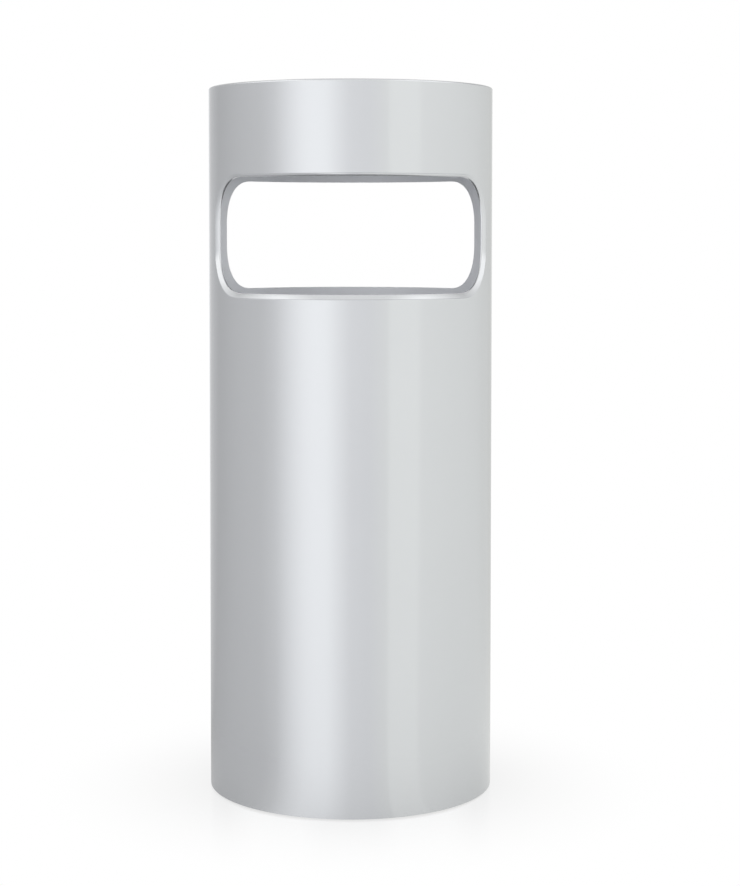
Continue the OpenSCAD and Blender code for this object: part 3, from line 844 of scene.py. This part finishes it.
def makeHandleWire():
    h = handle
    elbowAngle = math.asin(h["elbow"] / (h["radius"] - h["elbow"]))
    elbowX = (h["radius"] - h["elbow"]) * math.cos(elbowAngle)
    headFace = lugInner - h["play"]
    bm = bmesh.new()

    def onwards(edges, x):
        made = bmesh.ops.extrude_edge_only(bm, edges=edges)["geom"]
        shift(bm, x, 0, 0, only(bmesh.types.BMVert, made))
        return only(bmesh.types.BMEdge, made)

    def bend(edges, x, y, angle, steps):
        ends = once(vert for edge in edges for vert in edge.verts)
        made = bmesh.ops.spin(bm, geom=ends + edges, cent=(x * mm, y * mm, 0), axis=upAxis, angle=angle,
                              steps=steps)["geom_last"]
        return only(bmesh.types.BMEdge, made)

    sideways = Matrix.Translation((headFace * mm, 0, 0)) @ Matrix.Rotation(math.radians(90), 4, "Y")
    first = hoop(bm, h["wire"], h["sides"], sideways)
    pin = elbowX - headFace
    last = onwards(first, pin)
    last = bend(last, elbowX, h["elbow"], math.pi / 2 + elbowAngle, h["elbowSteps"])
    last = bend(last, 0, 0, math.pi - 2 * elbowAngle, h["archSteps"])
    last = bend(last, -elbowX, h["elbow"], math.pi / 2 + elbowAngle, h["elbowSteps"])
    last = onwards(last, pin)
    head, edge = h["head"], h["headEdge"]
    for edges, side in ((first, 1), (last, -1)):  # upset heads inside the lugs
        for radius, step in ((head - edge, 0), (head, -edge), (head, edge * 2 - h["headThick"]),
                             (head - edge * 2, -edge), (head * h["headFlat"], 0)):
            edges = onwards(edges, step * side)
            ring = once(vert for rung in edges for vert in rung.verts)
            scale = radius * mm / Vector((0, ring[0].co.y, ring[0].co.z)).length
            middle = Matrix.Translation((-ring[0].co.x, 0, 0))
            bmesh.ops.scale(bm, vec=(1, scale, scale), space=middle, verts=ring)
        bmesh.ops.edgeloop_fill(bm, edges=edges)
    outwards(bm)
    shift(bm, 0, 0, pivot)
    piece("handle_wire", bm, "zinc_steel", "bail", "bail_wire", crease=50)


makeHandleWire()

grip = {"outer": 7.0, "inner": 2.58, "angle": 46.0, "plain": 9.0, "ribs": 13, "ribDepth": 0.8,
        "ribRound": 0.5, "endRound": 1.6, "mouthRound": 0.4, "steps": 40, "longEdge": 20.0, "cuts": 24}


def makeGrip():
    g = grip
    length = handle["radius"] * math.radians(g["angle"])
    pitch = (length - 2 * g["plain"]) / g["ribs"]
    half = length / 2
    outer, valley, soft = g["outer"], g["outer"] - g["ribDepth"], g["ribRound"]
    points = [(g["inner"], -half, g["mouthRound"]), (outer, -half, g["endRound"])]
    for number in range(g["ribs"]):
        z = -half + g["plain"] + number * pitch
        points += [(outer, z, soft), (valley, z + pitch * 0.22, soft), (valley, z + pitch * 0.5, soft),
                   (outer, z + pitch * 0.72, soft)]
    points += [(outer, half, g["endRound"]), (g["inner"], half, g["mouthRound"])]
    bm = bmesh.new()
    line(bm, points, True, 3)
    turn(bm, g["steps"])
    swing(bm, 90, "Y")
    bore = [edge for edge in bm.edges if edge.calc_length() > g["longEdge"] * mm]
    bmesh.ops.subdivide_edges(bm, edges=bore, cuts=g["cuts"], use_grid_fill=False)  # to bend with the rest
    roll(bm, handle["radius"])
    swing(bm, 180)
    shift(bm, 0, 0, pivot)
    outwards(bm)
    piece("handle_grip", bm, "black_plastic", "bail", "bail_grip", crease=40)


makeGrip()
print("pail done")

# The base, the weight under it and the feet
base = {"floorLow": 10.0, "floorTop": 13.0, "upIn": 117.6, "upOut": 120.6, "seat": 5.0, "sunk": 1.0,
        "ribIn": 100.8, "ribOut": 103.8, "ribTop": 17.0,
        "footBoss": 13.0, "footBossLow": 5.0, "footFlare": 0.8, "footRound": 0.6, "footSteps": 60,
        "footCircle": 101.6, "footAngles": (45, 135, 225, 315),
        "screwBoss": 6.0, "screwBossTop": 19.0, "screwFlare": 1.6, "flareTop": 1.2, "draft": 0.3,
        "screwSteps": 48, "screwCircle": 60.0, "screwAngles": (90, 210, 330),
        "dimple": 1.6, "dimpleFoot": 1.4, "dimpleDepth": 1.2, "dimpleTip": 1.4,
        "webAngles": (-15, 15, 75, 105, 165, 195, 255, 285), "webThick": 2.5, "webIn": 86.6, "webLow": 3.0,
        "webRound": 0.5}


def makeBase():
    b = base
    rim, low, top = span("base_plate")
    floorLow, floorTop, sunk = b["floorLow"], b["floorTop"], b["sunk"]
    upIn, upOut, ribIn, ribOut, ribTop = b["upIn"], b["upOut"], b["ribIn"], b["ribOut"], b["ribTop"]
    body = bmesh.new()
    line(body, [(0, floorLow), (upIn, floorLow, 1.0), (upIn, low, 0.5), (rim, low, 0.6),
                (rim, b["seat"], 0.6), (upOut, b["seat"], 0.4), (upOut, top, 1.2), (upIn, top, 1.2),
                (upIn, floorTop, 2.0), (ribOut, floorTop, 1.0), (ribOut, ribTop, 0.9), (ribIn, ribTop, 0.9),
                (ribIn, floorTop, 0.5), (0, floorTop)])
    turn(body)
    parts = [body]

    wide, foot, soft = b["footBoss"], b["footBossLow"], b["footRound"]
    footBoss = [(0, foot), (wide, foot, soft), (wide, floorLow - soft, soft),
                (wide + b["footFlare"], floorLow + sunk), (0, floorLow + sunk)]
    parts += [turnedAt(b["footCircle"], degrees, footBoss, b["footSteps"]) for degrees in b["footAngles"]]

    wide, peak = b["screwBoss"], b["screwBossTop"]
    screwBoss = [(0, floorTop - sunk), (wide + b["screwFlare"], floorTop - sunk),
                 (wide, floorTop + b["flareTop"], 0.6), (wide - b["draft"], peak, 0.8),
                 (b["dimple"], peak, 0.4), (b["dimpleFoot"], peak - b["dimpleDepth"], 0.3),
                 (0, peak - b["dimpleTip"])]
    parts += [turnedAt(b["screwCircle"], degrees, screwBoss, b["screwSteps"]) for degrees in b["screwAngles"]]

    for degrees in b["webAngles"]:
        web = bmesh.new()
        size = (upIn - b["webIn"] + sunk, b["webThick"], floorLow - b["webLow"] + sunk)
        middle = ((b["webIn"] + upIn + sunk) / 2, 0, (b["webLow"] + floorLow + sunk) / 2)
        bmesh.ops.create_cube(web, size=1, matrix=Matrix.Translation(Vector(middle) * mm)
                              @ Matrix.Diagonal(Vector(size) * mm).to_4x4())
        soften(web, b["webRound"], 3)
        swing(web, degrees)
        parts.append(web)
    piece("base_moulding", gather(parts), "base_plastic", "base", "base_plate")


makeBase()

weight = {"counterbore": 4.9, "boreEdge": 0.4, "hole": 2.9, "counterboreTop": 5.5, "eased": 0.8, "sides": 160,
          "boreSides": 32}


def makeWeight():
    w = weight
    rim, low, top = span("ballast_disc")
    ease, wide, edge, step = w["eased"], w["counterbore"], w["boreEdge"], w["counterboreTop"]
    rimSteps = ((rim - ease, low), (rim - ease * 0.3, low + ease * 0.3), (rim, low + ease), (rim, top - ease),
                (rim - ease, top))
    boreSteps = ((wide + edge, low), (wide, low + edge), (wide, step), (w["hole"], step), (w["hole"], top))
    bm = bmesh.new()
    rims = [[circle(bm, 0, 0, radius, w["sides"], -level) for radius, level in rimSteps]]
    for degrees in base["screwAngles"]:
        x, z = around(base["screwCircle"], degrees)
        rims.append([circle(bm, x, z, radius, w["boreSides"], -level) for radius, level in boreSteps])
    layPlate(bm, rims)
    weightedNormals(piece("weight_disc", bm, "ballast_steel", "base", "ballast_disc", crease=30))


makeWeight()

weightScrews = {"shank": 2.5, "head": 4.5, "seat": 5.5}


def makeWeightScrews():
    w = weightScrews
    low, tip = span("ballast_screws")[1:]
    parts = [makeScrew(w["shank"], w["head"], low, w["seat"], tip, *around(base["screwCircle"], degrees))
             for degrees in base["screwAngles"]]
    piece("weight_screws", gather(parts), "zinc_steel", "base", "ballast_screws")


makeWeightScrews()

rubberFoot = {"sole": 11.0, "top": 12.0, "height": 5.0, "plug": 4.0, "plugTip": 3.2, "tipLength": 2.4,
              "recess": 6.0, "recessRim": 6.8, "recessDepth": 0.8, "steps": 56}


def makeFoot(number, degrees):
    f = rubberFoot
    node = "foot_%d" % number
    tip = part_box(node)[1].z / mm
    points = [(0, f["recessDepth"]), (f["recess"], f["recessDepth"], 0.4), (f["recessRim"], 0, 0.3),
              (f["sole"], 0, 0.7), (f["top"], f["height"], 0.5), (f["plug"], f["height"], 0.4),
              (f["plug"], tip - f["tipLength"], 0.3), (f["plugTip"], tip, 0.6), (0, tip)]
    bm = turnedAt(base["footCircle"], degrees, points, f["steps"], 4)
    piece("rubber_foot_%d" % number, bm, "foot_rubber", "base", node)


for number, degrees in enumerate(base["footAngles"], 1):
    makeFoot(number, degrees)
print("base done")

# Floor, light and camera, in metres
studio = {
    "floorSize": 6.0, "floorColour": 0.86, "floorRoughness": 0.08, "floorMirror": 0.7,
    "fade": (0.125, 0.29),  # distances from the axis between which the polish by the foot fades
    "footSheen": 0.26, "footShade": 0.2,  # share of the polished floor by the foot, seen and mirrored
    "mirrorDim": 0.027,  # painted shade: the mirrored floor darkens towards the foot, by this over the distance
    "drawIn": 0.088, "drawInAhead": (0, 0.55),  # and its pattern draws together there, in front only
    "ambient": 0.6, "ceiling": (1.0, 0.68, 1.5),  # above: in front, behind and at the sides
    "ceilingRise": (0.08, 0.26), "ceilingBack": (-0.1, 0.5), "ceilingSides": (0.12, 0.4),
    "cool": (0.995, 1.0, 1.02), "warm": (0.99, 1.0, 0.985), "warmFrom": 20,
    "brightest": 2,  # the level that stands for white in the pattern's colours
    # what the metal mirrors, by bearing from the front: pale behind, grey on the left, a soft strip left of
    # the front, and a faint panel on the right
    "mirrored": (
        (-180, 1.0), (-168, 0.86), (-158, 0.67), (-152, 0.63), (-132, 0.525), (-103, 0.615), (-76, 0.665),
        (-64, 0.78), (-48, 1.12), (-38, 1.28), (-29, 1.335), (-19, 1.32), (0, 0.985), (14, 0.945), (30, 1.02),
        (31, 1.125), (57, 1.15), (58, 1.075), (102, 1.045), (119, 1.0), (144, 0.84), (160, 0.7), (170, 0.86),
        (180, 1.0))}


def bearingShade(start, direction, drawn=1.0):
    bearing = start.sum("ARCTAN2", direction.part("X"), 0 - direction.part("Y"))
    share = bearing * drawn * (1 / math.tau) + 0.5
    stops = []
    for degrees, level in studio["mirrored"]:
        tint = studio["cool" if degrees < studio["warmFrom"] else "warm"]
        stops.append((degrees / 360 + 0.5, grey(level / studio["brightest"], tint)))
    return start.add("ValToRGB", {"stops": stops}, {"Fac": share}, "Color")


def rayMasks(start):  # seen by the camera, also through glass, and mirrored
    camera, transmission, glossy = (start.add("LightPath", out="Is %s Ray" % kind)
                                    for kind in ("Camera", "Transmission", "Glossy"))
    return camera + transmission, glossy


def makeFloor():
    bm = bmesh.new()
    bmesh.ops.create_grid(bm, x_segments=1, y_segments=1, size=studio["floorSize"])
    mesh = bpy.data.meshes.new("floor")
    bm.to_mesh(mesh)
    bm.free()
    floor = bpy.data.objects.new("floor", mesh)
    scene.collection.objects.link(floor)

    def paint(start, place):
        reach = place.fromAxis()
        near = 1 - reach.between(*studio["fade"])
        seen, mirrored = rayMasks(start)
        polished = start.add("BsdfPrincipled", {}, {
            "Base Color": grey(studio["floorColour"]), "Roughness": studio["floorRoughness"],
            "Metallic": seen * studio["floorMirror"]})
        ahead = ((0 - place.part("Y")) * reach ** -1).between(*studio["drawInAhead"])
        drawn = ahead * reach ** -1 * studio["drawIn"] + 1
        colour = mirrored.blend(grey(1.0), bearingShade(start, place, drawn))
        # painted shade by the foot, in the floor's glow that the metal mirrors
        paintedFootShade = 1 - reach ** -1 * studio["mirrorDim"]
        strength = seen + mirrored * paintedFootShade * studio["brightest"]
        white = start.add("Emission", {}, {"Color": colour, "Strength": strength})
        share = seen * (1 - near * near * studio["footSheen"]) + mirrored * (1 - near * studio["footShade"])
        return start.add("MixShader", {}, {0: share, 1: polished, 2: white})

    mesh.materials.append(finish("pale floor", paint))


def makeWorld():
    world = bpy.data.worlds.new("studio")
    world.use_nodes = True
    world.node_tree.nodes.clear()
    start = Wire(world.node_tree)
    direction = start.add("TexCoord", out="Generated")
    seen, mirrored = rayMasks(start)
    x = direction.part("X")
    beside = (x * x).between(*studio["ceilingSides"])
    behind = direction.part("Y").between(*studio["ceilingBack"])
    rise = direction.part("Z").between(*studio["ceilingRise"])
    front, back, sides = (grey(level / studio["brightest"]) for level in studio["ceiling"])
    above = behind.blend(beside.blend(front, sides), back)
    colour = mirrored.blend(grey(1.0), rise.blend(bearingShade(start, direction), above))
    strength = seen + mirrored * studio["brightest"] + (1 - seen - mirrored) * studio["ambient"]
    light = start.add("Background", {}, {"Color": colour, "Strength": strength})
    start.add("OutputWorld", {}, {"Surface": light})
    scene.world = world


lamps = {
    "left softbox": {"bearing": -32, "distance": 1.6, "height": 0.8, "size": (0.7, 1.2), "watts": 7},
    "right softbox": {"bearing": 12, "distance": 1.7, "height": 0.8, "size": (0.9, 1.2), "watts": 9},
}
lampAim = Vector((0, 0, 0.35))


def makeLamps():
    for name, lamp in lamps.items():
        data = bpy.data.lights.new(name, "AREA")
        data.shape = "RECTANGLE"
        data.size, data.size_y = lamp["size"]
        data.energy = lamp["watts"]
        made = bpy.data.objects.new(name, data)
        bearing = math.radians(lamp["bearing"])
        x, y = lamp["distance"] * math.sin(bearing), -lamp["distance"] * math.cos(bearing)
        made.location = (x, y, lamp["height"])
        made.rotation_euler = (lampAim - made.location).to_track_quat("-Z", "Y").to_euler()
        made.visible_camera = False
        made.visible_glossy = False
        scene.collection.objects.link(made)


viewpoint = {"lens": 81.592, "sensor": 36.0, "shift": (0.0219, -0.1196), "place": (0, -1.7812, 0.4927),
             "tilt": 3.017}  # degrees below level


def makeCamera():
    data = bpy.data.cameras.new("camera")
    data.lens = viewpoint["lens"]
    data.sensor_width = viewpoint["sensor"]
    data.shift_x, data.shift_y = viewpoint["shift"]
    made = bpy.data.objects.new("camera", data)
    made.location = viewpoint["place"]
    made.rotation_euler = (math.radians(90 - viewpoint["tilt"]), 0, 0)
    scene.collection.objects.link(made)
    scene.camera = made


makeFloor()
makeWorld()
makeLamps()
makeCamera()
scene.view_settings.view_transform = "Standard"
print("studio done")
